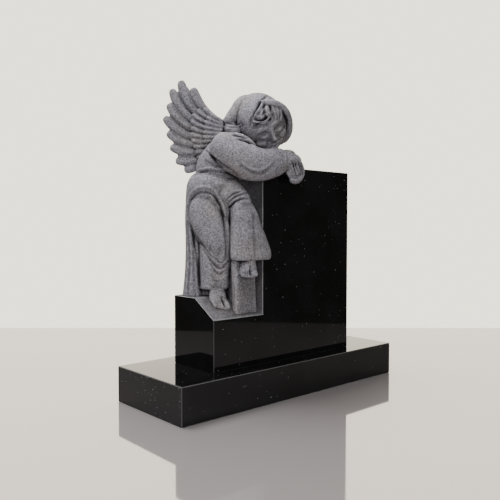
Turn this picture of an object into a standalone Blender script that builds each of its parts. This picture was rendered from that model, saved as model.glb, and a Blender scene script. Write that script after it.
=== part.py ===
"""Angel headstone: a polished granite base slab, and on it one stepped granite block whose low side carries a
child angel, carved from the same stone, that leans on the tall side with folded arms.

Metres, +Z up. The origin is the middle of the base's underside, X runs along the front and Y runs to the back.
"""

import math

import bmesh
import bpy
import numpy as np
from mathutils import Matrix, Vector

# Base slab
BASE_LENGTH = 0.850
BASE_DEPTH = 0.305
BASE_HEIGHT = 0.100
BASE_ARRIS = 0.0020

# Stepped block that stands on the base
TABLET_LENGTH = 0.550
TABLET_HEIGHT = 0.560
TABLET_THICKNESS = 0.180
TABLET_ARRIS = 0.0015
LEFT_MARGIN = 0.143
FRONT_MARGIN = 0.055
LOW_LENGTH = 0.176
LOW_HEIGHT = 0.194
SLOPE_RUN = 0.083
SLOPE_DROP = 0.053
JOINT_GAP = 0.0003

# Figure: its folded arms rest on the tall part, so its height follows the step between the two parts
ARM_REST_SHARE = 0.625
FIGURE_HEIGHT = (TABLET_HEIGHT - LOW_HEIGHT) / ARM_REST_SHARE
FIGURE_TURN_DEGREES = 41.8

# Fineness of the carved surface
CARVING_GRAIN = 0.0030
CARVING_TRIANGLES = 9200

tablet_left = -BASE_LENGTH / 2 + LEFT_MARGIN
tablet_right = tablet_left + TABLET_LENGTH
tablet_front = -BASE_DEPTH / 2 + FRONT_MARGIN
tablet_back = tablet_front + TABLET_THICKNESS
reveal = tablet_left + LOW_LENGTH
tablet_foot = BASE_HEIGHT + JOINT_GAP
tablet_top = BASE_HEIGHT + TABLET_HEIGHT
ledge_top = BASE_HEIGHT + LOW_HEIGHT

# The figure is measured in thousandths of its own height: ahead of it, to its right side, and up from the ledge
turn = math.radians(FIGURE_TURN_DEGREES)
ahead = Vector((math.cos(turn), -math.sin(turn), 0))
side = Vector((-math.sin(turn), -math.cos(turn), 0))
unit = FIGURE_HEIGHT / 1000
foot_point = Vector(((tablet_left + reveal) / 2, (tablet_front + tablet_back) / 2, ledge_top))

# The same measure turned to face the tablet's front, for what lies parallel to the polished faces
TO_FRONT = (math.sin(turn), math.cos(turn), 0)


def smooth_path(points, steps):
    """Rows of numbers read along a smooth curve through the given rows."""
    rows = np.array(points, float)
    spread = np.linspace(0, len(rows) - 1, steps)
    padded = np.vstack([2 * rows[0] - rows[1], rows, 2 * rows[-1] - rows[-2]])
    first = np.minimum(spread.astype(int), len(rows) - 2)
    t = (spread - first)[:, None]
    a, b, c, d = (padded[first + k] for k in range(4))
    return 0.5 * (2 * b + (c - a) * t + (2 * a - 5 * b + 4 * c - d) * t**2 + (3 * b - a - 3 * c + d) * t**3)


def unit_rows(rows):
    return rows / np.maximum(np.linalg.norm(rows, axis=1, keepdims=True), 1e-9)


def form(stone, stations, blunt=4.0, level=False, across=(0, 1, 0), square=2.0, sides=20, rings=22, place=None):
    """Adds a closed rounded form swept through rows of ahead, side, up, half width and half depth."""
    lump = bmesh.new()
    made = bmesh.ops.create_uvsphere(lump, u_segments=sides, v_segments=rings, radius=1)["verts"]
    ball = np.array([v.co for v in made])
    fine = smooth_path(stations, 121)
    across = np.array(across, float)
    way = np.tile([0.0, 0.0, 1.0], (len(fine), 1)) if level else unit_rows(np.gradient(fine[:, :3], axis=0))
    depth_way = unit_rows(across - way * (way @ across)[:, None])
    width_way = np.cross(way, depth_way)
    share = (1 - np.clip(ball[:, 2], -1, 1)) / 2
    at = share * (len(fine) - 1)
    low = np.minimum(at.astype(int), len(fine) - 2)
    part = (at - low)[:, None]

    def along(rows):
        return rows[low] * (1 - part) + rows[low + 1] * part

    flat = np.linalg.norm(ball[:, :2], axis=1)
    ring = ball[:, :2] / np.maximum(flat, 1e-6)[:, None]
    corner = np.maximum((np.abs(ring) ** square).sum(axis=1), 0.01) ** (-1 / square)
    swell = (1 - np.abs(2 * share - 1) ** blunt) ** (1 / blunt) * corner
    values = along(fine)
    moved = (
        values[:, :3]
        + along(width_way) * (values[:, 3] * ring[:, 0] * swell)[:, None]
        + along(depth_way) * (values[:, 4] * ring[:, 1] * swell)[:, None]
    )
    if place is not None:
        moved = moved @ place[:3] + place[3]
    for vertex, spot in zip(made, moved):
        vertex.co = spot
    bmesh.ops.recalc_face_normals(lump, faces=lump.faces)
    mesh = bpy.data.meshes.new("lump")
    lump.to_mesh(mesh)
    lump.free()
    stone.from_mesh(mesh)
    bpy.data.meshes.remove(mesh)


def carve_gown(stone):
    """The gown from the waist to the ledge, with the standing leg pressing through its near side."""
    form(stone, [(-30, -10, 596, 92, 74), (-24, -6, 540, 126, 92), (-26, -12, 460, 132, 92), (-36, -26, 380, 124, 84),
                 (-46, -40, 280, 112, 76), (-48, -42, 150, 112, 76), (-48, -42, -60, 116, 80)], 9, level=True, rings=34)
    form(stone, [(-74, 20, 506, 62, 46), (-66, 28, 440, 78, 62), (-46, 34, 350, 84, 62), (-14, 34, 250, 70, 60),
                 (8, 30, 156, 46, 50)], 2.6)
    form(stone, [(-42, -6, 500, 84, 60), (-30, 4, 420, 84, 64), (-22, 10, 340, 80, 66), (-17, 12, 260, 76, 68),
                 (-17, 14, 180, 73, 69), (-18, 14, 110, 71, 68), (-20, 14, 34, 69, 66)], 26, level=True, square=2.8,
         rings=40)
    form(stone, [(-112, -6, 500, 40, 56), (-122, -6, 400, 38, 56), (-128, -8, 280, 32, 52), (-127, -8, 180, 34, 52),
                 (-126, -8, 90, 40, 54), (-125, -8, -40, 54, 58)], 12, level=True)
    form(stone, [(-100, 4, 330, 26, 40), (-104, 2, 200, 28, 42), (-106, 2, 60, 32, 44), (-106, 2, -40, 34, 46)], 12,
         level=True)


def carve_raised_leg(stone):
    """The left thigh lifted against the tall part, its bell of cloth, and the squared stub of stone below it."""
    form(stone, [(-20, 0, 520, 90, 76), (40, 18, 490, 84, 70), (100, 36, 452, 62, 58), (136, 44, 404, 52, 52)], 2.8)
    form(stone, [(6, 8, 520, 92, 70), (22, 14, 450, 80, 66), (38, 12, 390, 60, 54), (48, 2, 330, 30, 30)], 3)
    form(stone, [(92, 34, 500, 34, 34), (104, 38, 462, 50, 44), (122, 40, 411, 69, 46), (133, 42, 354, 82, 48),
                 (142, 42, 307, 95, 50), (152, 42, 254, 109, 50), (159, 42, 211, 119, 50), (160, 42, 173, 119, 49)],
         20, level=True, across=TO_FRONT, square=2.3, sides=28, rings=36)
    form(stone, [(119, 60, 172, 63, 19), (122, 56, 100, 64, 19), (125, 50, 20, 65, 19), (129, 45, -120, 66, 19)],
         16, level=True, across=TO_FRONT, square=6, sides=28)
    form(stone, [(74, -14, 440, 44, 60), (92, -14, 300, 58, 60), (98, -16, 100, 56, 60), (98, -16, -100, 56, 60)],
         6, level=True, across=TO_FRONT, square=3)
    form(stone, [(0, -110, 500, 96, 66), (30, -112, 300, 100, 60), (30, -112, 100, 100, 60), (30, -108, -60, 100, 60)],
         12, level=True)


TOE_LENGTHS = (1.0, 0.97, 0.88, 0.76, 0.62)
TOE_HALVES = (17, 12, 11, 10, 9)


def carve_foot(stone, heel, ball, toes_end, width, lift):
    """A bare foot: instep from the ankle to the ball, and five toes fanned across its end from the big toe."""
    heel, ball, toes_end = (np.array(p, float) for p in (heel, ball, toes_end))
    run = unit_rows((toes_end - ball)[None])[0]
    lift = np.array(lift, float)
    cross_way = unit_rows(np.cross(run, lift)[None])[0]
    form(stone, [(*(heel + lift * 22), 34, 32), (*(heel * 0.55 + ball * 0.45 + lift * 14), 36, 34),
                 (*(ball + lift * 2), width, 25), (*(ball * 0.4 + toes_end * 0.6), width * 0.84, 14)],
         3.6, across=tuple(lift))
    for k, (long, thick) in enumerate(zip(TOE_LENGTHS, TOE_HALVES)):
        off = (1.5 - k) / 3.0 * width
        start = ball + cross_way * off * 0.95
        end = ball + (toes_end - ball) * long + cross_way * off * 1.04
        form(stone, [(*(start - run * 8), thick, thick), (*((start + end) / 2 + lift * 5), thick, thick),
                     (*end, thick * 0.98, thick * 0.94)], 3.2, across=tuple(lift), sides=12, rings=10)


def carve_torso(stone):
    """The body under the gown's yoke, bent ahead over the arms, with the neck."""
    form(stone, [(-22, -8, 500, 112, 84), (2, -8, 590, 119, 86), (26, -10, 650, 110, 90), (44, -16, 704, 92, 92),
                 (62, -26, 752, 60, 66)], 3.0, rings=28)
    form(stone, [(60, -50, 700, 66, 64), (130, -76, 750, 58, 54), (200, -90, 800, 50, 50)], 4)
    form(stone, [(30, 62, 740, 26, 30), (64, 60, 752, 27, 30), (108, 56, 743, 27, 30), (152, 44, 718, 27, 28),
                 (182, 30, 692, 24, 26)], 2.6)


def carve_arms(stone):
    """Both sleeves: the near arm crosses the front edge of the tall part, the far one lies on its top."""
    form(stone, [(-8, 40, 714, 62, 60), (36, 62, 698, 80, 66), (92, 78, 660, 84, 66), (148, 78, 632, 84, 63),
                 (202, 56, 624, 78, 62), (246, 24, 632, 72, 60), (288, -12, 646, 66, 56), (318, -36, 650, 56, 50)],
         11, rings=40)
    form(stone, [(50, -110, 730, 62, 60), (140, -220, 705, 56, 56), (214, -306, 668, 54, 52)], 4)
    form(stone, [(196, -320, 668, 52, 50), (280, -226, 668, 52, 48), (340, -140, 674, 48, 46), (366, -112, 668, 40, 38)],
         6, across=(0, 0, 1))


HAND_LEFT = (349, -49)
HAND_RIGHT = (412, -106)
FINGERS = (((0.82, 660), (1.06, 612), (1.00, 584), (0.82, 562)),
           ((0.54, 664), (0.80, 612), (0.80, 580), (0.64, 554)),
           ((0.24, 666), (0.48, 612), (0.54, 578), (0.44, 550)),
           ((-0.04, 660), (0.16, 608), (0.24, 582), (0.20, 558)))


def carve_hand(stone):
    """The near hand: its back turned up and the fingers hanging over the polished face."""
    form(stone, [(322, -46, 646, 32, 30), (352, -58, 656, 36, 30), (374, -72, 650, 36, 28), (378, -76, 630, 30, 22)], 3)
    form(stone, [(370, -66, 652, 38, 22), (374, -70, 604, 42, 20), (368, -66, 564, 34, 18)], 3, across=TO_FRONT)
    for path in FINGERS:
        rows = [(HAND_LEFT[0] + (HAND_RIGHT[0] - HAND_LEFT[0]) * across,
                 HAND_LEFT[1] + (HAND_RIGHT[1] - HAND_LEFT[1]) * across, up, 9, 13) for across, up in path]
        form(stone, rows, 4, across=TO_FRONT, sides=12, rings=16)
    form(stone, [(334, -36, 640, 14, 16), (340, -36, 604, 15, 16), (354, -44, 572, 14, 14)], 4, sides=12, rings=12)
    form(stone, [(352, -48, 640, 20, 17), (354, -50, 596, 22, 17), (366, -58, 566, 20, 15)], 3, across=TO_FRONT)
    form(stone, [(346, -44, 562, 11, 14), (364, -56, 548, 12, 18), (392, -82, 554, 12, 18), (410, -96, 584, 11, 14)],
         4, across=TO_FRONT, sides=12, rings=16)


# Head: its middle, where it looks and how far it rolls on the arms
HEAD_CENTRE = (210, -88, 842)
HEAD_SIZE = 1.12
HEAD_LOOK = (0.42, 0.76, -0.50)
HEAD_ROLL = 0.55
HEAD_REACH = 175
look = unit_rows(np.array([HEAD_LOOK]))[0]
crown_way = np.array([-HEAD_ROLL, 0, 1.0])
crown_way = unit_rows((crown_way - look * (crown_way @ look))[None])[0]
cheek_way = np.cross(crown_way, look)
cheek_way *= np.sign(cheek_way[0])
HEAD = np.array([cheek_way * HEAD_SIZE, look * HEAD_SIZE, crown_way * HEAD_SIZE, HEAD_CENTRE])
CAP_MIDDLE = (0, -20, 2)
CAP_HALF = (113, 128, 126)


def on_cap(x, z, lift=0.0):
    """The point of the hair cap's front at a place across and up the head, lifted off it."""
    at_x, at_z = (x - CAP_MIDDLE[0]) / CAP_HALF[0], (z - CAP_MIDDLE[2]) / CAP_HALF[2]
    return (x, CAP_MIDDLE[1] + CAP_HALF[1] * math.sqrt(max(0.02, 1 - at_x**2 - at_z**2)) + lift, z)


def carve_head(stone):
    """Skull and face, in rows across the face, out of it and up it, and the hair swept back to a knot at the nape."""
    def on_head(rows, **more):
        form(stone, rows, place=HEAD, **more)

    on_head([(0, -6, 118, 96, 108), (0, -6, 0, 103, 116), (0, 4, -100, 60, 84)], blunt=2.1, level=True, rings=24)
    on_head([(0, 30, -20, 78, 76), (0, 40, -70, 64, 62), (0, 46, -112, 34, 44)], blunt=2.4, level=True)
    for cheek in (-1, 1):
        on_head([(cheek * 42, 66, -16, 34, 30), (cheek * 38, 66, -62, 34, 30)], blunt=2, level=True, sides=14,
                rings=12)
        on_head([(cheek * 8, 106, -38, 8, 9), (cheek * 13, 103, -37, 6, 7)], blunt=2, sides=12, rings=8)
    on_head([(0, 92, 20, 12, 16), (0, 98, -10, 13, 17), (0, 101, -36, 16, 14)], blunt=2.6, sides=14, rings=14)
    on_head([(0, 106, -12, 7, 9), (0, 113, -30, 9, 11), (0, 108, -40, 9, 8)], blunt=2.6, sides=12, rings=12)
    on_head([(0, -20, 128, 108, 118), (0, -20, 2, 113, 128), (0, -18, -96, 88, 92)], blunt=2.1, level=True,
            rings=28)
    form(stone, [(200, -100, 880, 104, 100), (142, -96, 890, 99, 92), (88, -86, 868, 62, 60), (36, -80, 843, 29, 34),
                 (4, -76, 838, 18, 22)], 2.8)
    form(stone, [(160, -78, 812, 46, 48), (104, -68, 808, 36, 42), (54, -64, 812, 30, 32), (16, -66, 824, 16, 20)],
         2.8)
    on_head([(*on_cap(68, 64, -14), 20, 24), (98, 38, 26, 25, 34), (104, 30, -28, 26, 36), (93, 26, -84, 25, 34),
             (62, 34, -124, 18, 26)], blunt=3)
    on_head([(78, 4, 60, 34, 60), (84, 0, 0, 36, 66), (76, 2, -66, 32, 60), (48, 14, -132, 24, 44)], blunt=2.8,
            level=True)


LEAVES = ((((32, 115), (54, 105), (76, 82)), 9, 8), (((42, 104), (56, 92), (64, 76)), 7, 4),
          (((18, 113), (-4, 105), (-26, 97), (-48, 83)), 8, 8), (((26, 102), (16, 86), (4, 74)), 11, 9),
          (((-60, 72), (-30, 61), (-4, 61), (16, 72)), 7, 9), (((-38, 85), (-22, 79), (-6, 77)), 8, 5),
          (((32, 92), (26, 76), (16, 58)), 6, 4))
FRINGE = (((46, 94), (47, 66), (36, 42)), ((61, 84), (59, 62), (50, 38)), ((76, 68), (71, 46), (60, 22)))


def carve_garland(stone):
    """The band of leaves that runs over the head from the parting to the ear, and the fringe in front of it."""
    for path, half, lift in LEAVES:
        form(stone, [(*on_cap(*spot, lift), half, half * 0.8) for spot in path], 2.4, sides=14, rings=18, place=HEAD)
    for path in FRINGE:
        rows = [(*on_cap(*spot, 6 - 2 * k), (9, 9, 5)[k], (9, 10, 6)[k]) for k, spot in enumerate(path)]
        form(stone, rows, 3.2, sides=14, rings=16, place=HEAD)


WING_TIPS = ((-126, 1006), (-184, 1042), (-228, 1001), (-244, 930), (-264, 866), (-250, 792), (-236, 722),
             (-210, 654), (-168, 608))
WING_ROOTS = ((22, 845), (26, 826), (24, 806), (20, 786), (16, 766), (10, 746), (2, 726), (-8, 702), (-20, 680))
WING_BENDS = (0.25, 0.34, 0.35, 0.33, 0.31, 0.28, 0.25, 0.20, 0.15)
WING_ROWS = ((1.0, 0, 1.0, 1.0), (0.50, 9, 0.74, 0.75), (0.29, 16, 0.74, 0.75))


def carve_wing(stone, shift, size, root_shift, outward):
    """One wing: a blade behind, nine long flight feathers fanned back, and two rows of narrow ones lapping them."""
    pivot = np.array([20.0, 780.0])
    places = np.arange(len(WING_TIPS))
    for reach, rise, wide, step in WING_ROWS:
        for place in np.arange(0, len(WING_TIPS) - 0.9, step):
            tip, root = (np.array([np.interp(place, places, [spot[k] for spot in spots]) for k in (0, 1)])
                         for spots in (WING_TIPS, WING_ROOTS))
            run = tip - root
            middle = (tip + root) / 2 + np.array([-run[1], run[0]]) * np.interp(place, places, WING_BENDS)
            line = []
            for t in np.linspace(0, reach, 6):
                spot = root * (1 - t) ** 2 + middle * 2 * t * (1 - t) + tip * t**2
                spot = pivot + (spot - pivot) * size
                out = shift + root_shift * (1 - t) + rise * outward
                half = (11 + 18 * t) * wide * size
                line.append((spot[0], out, spot[1], half, 15))
            form(stone, line, 3.6, sides=14, rings=22)
    inner = shift - 8 * outward
    form(stone, [(30, inner + root_shift, 780, 62, 14), (-60, inner, 780, 84, 9), (-130, inner, 822, 74, 5)], 2.6)


def build_stone():
    stone = bmesh.new()
    carve_gown(stone)
    carve_raised_leg(stone)
    carve_foot(stone, (-16, 24, 44), (3, 76, -14), (36, 110, -60), 44, (0.2, 0.3, 0.93))
    carve_foot(stone, (138, 34, 196), (144, 86, 128), (158, 104, 90), 43, (0.2, 0.9, 0.35))
    carve_torso(stone)
    carve_arms(stone)
    carve_hand(stone)
    carve_head(stone)
    carve_garland(stone)
    carve_wing(stone, -48.0, 1.0, -6.0, 1)
    carve_wing(stone, -108.0, 0.94, 10.0, -1)
    return stone


# Chisel lines: path in ahead and up, half width, depth (a ridge above nought), and the side they start from
CHISEL = (
    (((-141, 387), (-132, 443), (-103, 480), (-66, 492), (-24, 480), (4, 443), (23, 396), (36, 326), (43, 256),
      (41, 185), (17, 162), (-15, 185), (-57, 227), (-99, 284), (-127, 335)), 6, -5, 0),
    (((-147, 434), (-128, 485), (-100, 510), (-62, 520), (-20, 506), (8, 471), (29, 420), (45, 354), (55, 269),
      (57, 185), (55, 104)), 6, 4, 0),
    (((-67, 223), (-34, 176), (-2, 142), (27, 138), (48, 166)), 6, -7, 20),
    (((-39, 166), (-11, 124), (12, 107), (41, 128)), 6, -5, 20),
    (((-60, 245), (-24, 196), (4, 160), (30, 160), (48, 190)), 6, 5, 20),
    (((-126, 560), (-103, 578), (-56, 592), (-9, 590), (37, 582), (93, 562), (128, 540)), 6, -7, 0),
    (((-112, 596), (-56, 606), (-9, 604), (37, 597), (80, 580)), 6, 4, 20),
    (((45, 457), (69, 481), (97, 495), (111, 497)), 5, -10, 0),
    (((50, 439), (78, 467), (111, 483), (139, 490)), 5, -10, 0),
    (((55, 420), (88, 450), (121, 462), (149, 462)), 5, -10, 0),
    (((-46, 687), (-13, 650), (24, 618), (70, 586), (100, 565)), 8, -8, 20),
    (((-52, 708), (-28, 674), (6, 646), (40, 616)), 6, 5, 20),
    (((-65, 651), (-32, 623), (5, 605)), 9, -4, 20),
    (((88, 650), (140, 606), (196, 592), (236, 612), (262, 640)), 7, 6, 30),
    (((96, 640), (144, 592), (196, 578), (242, 598), (268, 624)), 9, -3, 30),
    (((30, 846), (54, 832), (84, 826), (118, 830)), 4, -4, -90),
    (((22, 832), (50, 816), (86, 812), (124, 818)), 4, -4, -90),
    (((60, 860), (76, 842), (92, 812)), 4, -3, -90),
    (((96, 866), (108, 840), (120, 812)), 4, -3, -90),
    (((56, 777), (84, 775), (114, 763)), 5.5, -16, 10),
    (((74, 757), (108, 755), (142, 741)), 5.5, -16, 10),
    (((98, 736), (132, 731), (164, 714)), 5.5, -16, 10),
    (((348, 656), (366, 634), (383, 578)), 4, -8, -120),
    (((372, 652), (392, 600)), 4, -8, -120),
    (((390, 652), (406, 606)), 4, -7, -120),
    (((338, 606), (352, 580), (374, 567), (400, 582)), 4, -8, -120),
    (((334, 692), (336, 650), (332, 604)), 5, -8, -30),
    (((322, 690), (324, 650), (320, 606)), 6, 4, -30),
    (((154, 150), (154, 122), (157, 96)), 3.5, -10, 80),
    (((142, 126), (142, 98)), 3, -5, 80),
    (((131, 124), (131, 98)), 3, -5, 80),
    (((121, 124), (121, 102)), 3, -4, 80),
    (((20, 4), (28, -20), (42, -52)), 4, -9, 70),
    (((66, 762), (98, 763), (124, 755)), 4, 4, 10),
    (((92, 741), (122, 742), (150, 732)), 4, 4, 10),
    (((168, 400), (172, 340), (176, 260), (178, 176)), 6, -3, 20),
    (((-130, 335), (-116, 269), (-102, 184), (-93, 103), (-84, 32)), 7, -7, -20),
    (((-165, 340), (-160, 244), (-161, 147), (-171, 16)), 5, -5, -60),
    (((-146, 354), (-139, 244), (-135, 148), (-145, 18)), 6, -7, -60),
    (((-118, 230), (-114, 150), (-112, 60)), 5, -4, -60),
)

# The same for the head, across it and up it, or across, out and up; those of the eyes are mirrored
HEAD_CHISEL = (
    (((70, -12, 104), (42, 18, 114), (16, 30, 117), (-6, 46, 111), (-24, 56, 104), (-52, 60, 88), (-68, 60, 68),
      (-74, 62, 50)), 6, -12, -60),
    (((-62, 44), (-40, 60), (-16, 62), (6, 58), (24, 50)), 6, -6, 20),
    (((84, 50), (91, 20), (92, -20), (82, -66), (64, -108)), 5, -9, 10),
    (((40, 96), (28, 74), (14, 50)), 4, -9, 20),
    (((53, 90), (52, 66), (44, 42)), 3.5, -7, 20),
    (((-10, 70), (0, 66), (12, 70)), 4, -7, 20),
    (((8, 100), (0, 90), (-12, 86)), 4, -7, 20),
    (((0, 34), (0, 10), (0, -16)), 8, 4, 40),
    (((-26, -64), (-10, -60), (0, -62), (10, -60), (26, -64)), 5, 5, 40),
    (((-26, -67), (-8, -67), (0, -69), (8, -67), (26, -67)), 3, -6, 40),
    (((-18, -76), (0, -79), (18, -76)), 5.5, 5, 40),
    (((-14, -90), (0, -91), (14, -90)), 5, -4, 40),
    (((-8, -106), (8, -106)), 13, 5, 30),
)
EYE_CHISEL = (
    (((8, 25), (36, 34), (66, 22)), 9, 4, 40),
    (((14, 4), (38, 8), (62, 0)), 11, -9, 40),
    (((22, -5), (38, -7), (56, -6)), 9, 7, 40),
    (((18, -8), (28, -15), (40, -17), (52, -14), (60, -8)), 3, -6, 40),
    (((34, -44), (50, -36)), 22, 5, 30),
)
HEAD_CHISEL += EYE_CHISEL + tuple((tuple((-x, z) for x, z in path), *rest) for path, *rest in EYE_CHISEL)


def chisel(points, normals, path, half_width, depth, side_from):
    """How far each point moves out along its normal for one line drawn on the figure's right side."""
    line = smooth_path(path, 8 * len(path))
    moves = np.zeros(len(points))
    reach = 3 * half_width
    low, high = line.min(axis=0) - reach, line.max(axis=0) + reach
    spots = points if line.shape[1] == 3 else points[:, [0, 2]]
    near = np.flatnonzero(((spots > low) & (spots < high)).all(axis=1) & (points[:, 1] > side_from))
    spots = spots[near]
    nearest = np.full(len(spots), 1e9)
    share = np.zeros(len(spots))
    for k in range(len(line) - 1):
        start, run = line[k], line[k + 1] - line[k]
        t = np.clip(((spots - start) @ run) / max(run @ run, 1e-9), 0, 1)
        gap = np.linalg.norm(spots - (start + t[:, None] * run), axis=1)
        share = np.where(gap < nearest, (k + t) / (len(line) - 1), share)
        nearest = np.minimum(nearest, gap)
    facing = 1 if line.shape[1] == 3 else np.clip((normals[near, 1] + 0.1) / 0.4, 0, 1)
    taper = np.sin(np.clip(share, 0.02, 0.98) * math.pi) ** 0.5
    moves[near] = depth * np.exp(-((nearest / half_width) ** 2)) * facing * taper
    return moves


def current_mesh(obj):
    bpy.context.view_layer.update()
    return bpy.data.meshes.new_from_object(obj.evaluated_get(bpy.context.evaluated_depsgraph_get()))


def bake_modifiers(obj):
    mesh = current_mesh(obj)
    obj.modifiers.clear()
    obj.data = mesh


def add_object(name, mesh, *materials):
    obj = bpy.data.objects.new(name, mesh)
    bpy.context.scene.collection.objects.link(obj)
    for material in materials:
        mesh.materials.append(material)
    return obj


def stone_finish(name, colour, roughness):
    material = bpy.data.materials.new(name)
    material.use_nodes = True
    shader = material.node_tree.nodes["Principled BSDF"]
    shader.inputs["Base Color"].default_value = (*colour, 1)
    shader.inputs["Roughness"].default_value = roughness
    shader.inputs["Metallic"].default_value = 0
    return material


def carved_figure(material):
    """The figure fused to one skin, chiselled, thinned and set on the ledge."""
    stone = build_stone()
    mesh = bpy.data.meshes.new("figure")
    stone.to_mesh(mesh)
    stone.free()
    figure = add_object("figure", mesh, material)
    fuse = figure.modifiers.new("Fuse", "REMESH")
    fuse.mode = "VOXEL"
    fuse.voxel_size = CARVING_GRAIN / unit
    soften = figure.modifiers.new("Soften", "SMOOTH")
    soften.factor = 0.5
    soften.iterations = 3
    bake_modifiers(figure)
    mesh = figure.data
    points = np.empty(len(mesh.vertices) * 3, np.float32)
    mesh.vertices.foreach_get("co", points)
    points = points.reshape(-1, 3).astype(float)
    normals = np.array([v.normal for v in mesh.vertices])
    moves = sum(chisel(points, normals, *line) for line in CHISEL)
    to_head = np.linalg.inv(HEAD[:3])
    head_points = (points - HEAD[3]) @ to_head
    head_normals = unit_rows(normals @ to_head)
    on_the_head = np.linalg.norm(head_points, axis=1) < HEAD_REACH
    moves += sum(chisel(head_points, head_normals, *line) for line in HEAD_CHISEL) * on_the_head
    points += normals * moves[:, None]
    mesh.vertices.foreach_set("co", points.astype(np.float32).ravel())
    set_down = Matrix((ahead * unit, side * unit, (0, 0, unit))).transposed().to_4x4()
    set_down.translation = foot_point
    mesh.transform(set_down)
    mesh.flip_normals()
    mesh.update()
    triangles = 2 * len(mesh.polygons)
    thin = figure.modifiers.new("Thin", "DECIMATE")
    thin.ratio = CARVING_TRIANGLES / triangles
    bake_modifiers(figure)
    return figure


def slab(name, low, high, arris, *materials):
    """A straight-sided stone between two corners, with every edge eased by the arris."""
    block = bmesh.new()
    bmesh.ops.create_cube(block, size=1)
    size = Vector(high) - Vector(low)
    bmesh.ops.scale(block, vec=size, verts=block.verts)
    bmesh.ops.translate(block, vec=(Vector(high) + Vector(low)) / 2, verts=block.verts)
    bmesh.ops.bevel(block, geom=block.edges[:], offset=arris, segments=1, profile=0.5, affect="EDGES", material=-1)
    mesh = bpy.data.meshes.new(name)
    block.to_mesh(mesh)
    block.free()
    return add_object(name, mesh, *materials)


def low_block(name, polished, carved):
    """The low part, whose top falls to the front in a slope, drawn in side view and pushed along the tablet."""
    block = bmesh.new()
    outline = ((tablet_front, tablet_foot), (tablet_front, ledge_top - SLOPE_DROP),
               (tablet_front + SLOPE_RUN, ledge_top), (tablet_back, ledge_top), (tablet_back, tablet_foot))
    corners = [block.verts.new((tablet_left, y, z)) for y, z in outline]
    end = block.faces.new(corners)
    pushed = bmesh.ops.extrude_face_region(block, geom=[end])["geom"]
    into_tall = (LOW_LENGTH + TABLET_LENGTH) / 2
    moved = [v for v in pushed if isinstance(v, bmesh.types.BMVert)]
    bmesh.ops.translate(block, vec=(into_tall, 0, 0), verts=moved)
    bmesh.ops.recalc_face_normals(block, faces=block.faces)
    for face in block.faces:
        face.material_index = 1 if face.normal.z > 0.5 else 0
    bmesh.ops.bevel(block, geom=block.edges[:], offset=TABLET_ARRIS, segments=1, profile=0.5, affect="EDGES",
                    material=-1)
    mesh = bpy.data.meshes.new(name)
    block.to_mesh(mesh)
    block.free()
    return add_object(name, mesh, polished, carved)


def join_stone(target, other):
    join = target.modifiers.new("Join " + other.name, "BOOLEAN")
    join.operation = "UNION"
    join.solver = "EXACT"
    join.object = other
    join.material_mode = "TRANSFER"
    bake_modifiers(target)
    bpy.data.objects.remove(other)


def main():
    for obj in list(bpy.data.objects):
        bpy.data.objects.remove(obj)
    polished = stone_finish("polished_black_granite", (0.012, 0.012, 0.013), 0.06)
    carved = stone_finish("carved_grey_granite", (0.20, 0.20, 0.215), 0.75)

    slab("base", (-BASE_LENGTH / 2, -BASE_DEPTH / 2, 0), (BASE_LENGTH / 2, BASE_DEPTH / 2, BASE_HEIGHT), BASE_ARRIS,
         polished.copy())

    headstone = slab("headstone", (reveal, tablet_front, tablet_foot), (tablet_right, tablet_back, tablet_top),
                     TABLET_ARRIS, polished, carved)
    for face in headstone.data.polygons:
        face.material_index = 1 if face.normal.x < -0.9 else 0
    join_stone(headstone, low_block("low_part", polished, carved))
    join_stone(headstone, carved_figure(carved))


main()
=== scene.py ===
"""Angel headstone, dressed: a polished black granite base and a stepped block of the same stone, out of which
a child angel is carved, on a pale studio floor. Metres, +Z up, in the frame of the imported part."""

import math

import bmesh
import bpy
import numpy as np
from mathutils import Matrix, Vector


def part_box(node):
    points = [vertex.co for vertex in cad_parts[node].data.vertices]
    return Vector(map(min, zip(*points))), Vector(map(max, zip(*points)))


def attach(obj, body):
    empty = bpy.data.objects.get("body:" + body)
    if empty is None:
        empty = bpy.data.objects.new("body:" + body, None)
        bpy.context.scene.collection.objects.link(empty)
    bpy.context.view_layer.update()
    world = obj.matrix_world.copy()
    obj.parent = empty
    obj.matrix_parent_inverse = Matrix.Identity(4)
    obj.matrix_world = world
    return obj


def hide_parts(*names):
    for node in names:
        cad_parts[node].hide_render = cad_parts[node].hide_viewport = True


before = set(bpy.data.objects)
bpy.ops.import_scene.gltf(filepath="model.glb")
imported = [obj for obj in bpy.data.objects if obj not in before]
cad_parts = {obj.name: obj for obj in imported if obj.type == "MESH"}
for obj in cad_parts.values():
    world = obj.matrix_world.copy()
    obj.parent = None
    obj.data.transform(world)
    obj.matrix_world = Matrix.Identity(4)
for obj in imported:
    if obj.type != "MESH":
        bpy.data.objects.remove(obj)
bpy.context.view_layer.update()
scene = bpy.context.scene


# Camera
# It stands off the left end of the stone's front, level with the angel's knees, and looks slightly down.
# Its place, turn and lens were worked out from the straight edges of both stones.
CAMERA_PLACE = (-1.2655, -1.3414, 0.4882)
CAMERA_TURN = math.radians(-41.786)
CAMERA_DIP = math.radians(2.2009)
CAMERA_LENS = 43.53
SENSOR_WIDTH = 36

camera = bpy.data.objects.new("camera", bpy.data.cameras.new("camera"))
camera.data.sensor_width = SENSOR_WIDTH
camera.data.lens = CAMERA_LENS
camera.location = CAMERA_PLACE
camera.rotation_euler = (math.pi / 2 - CAMERA_DIP, 0, CAMERA_TURN)
scene.collection.objects.link(camera)
scene.camera = camera


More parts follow.
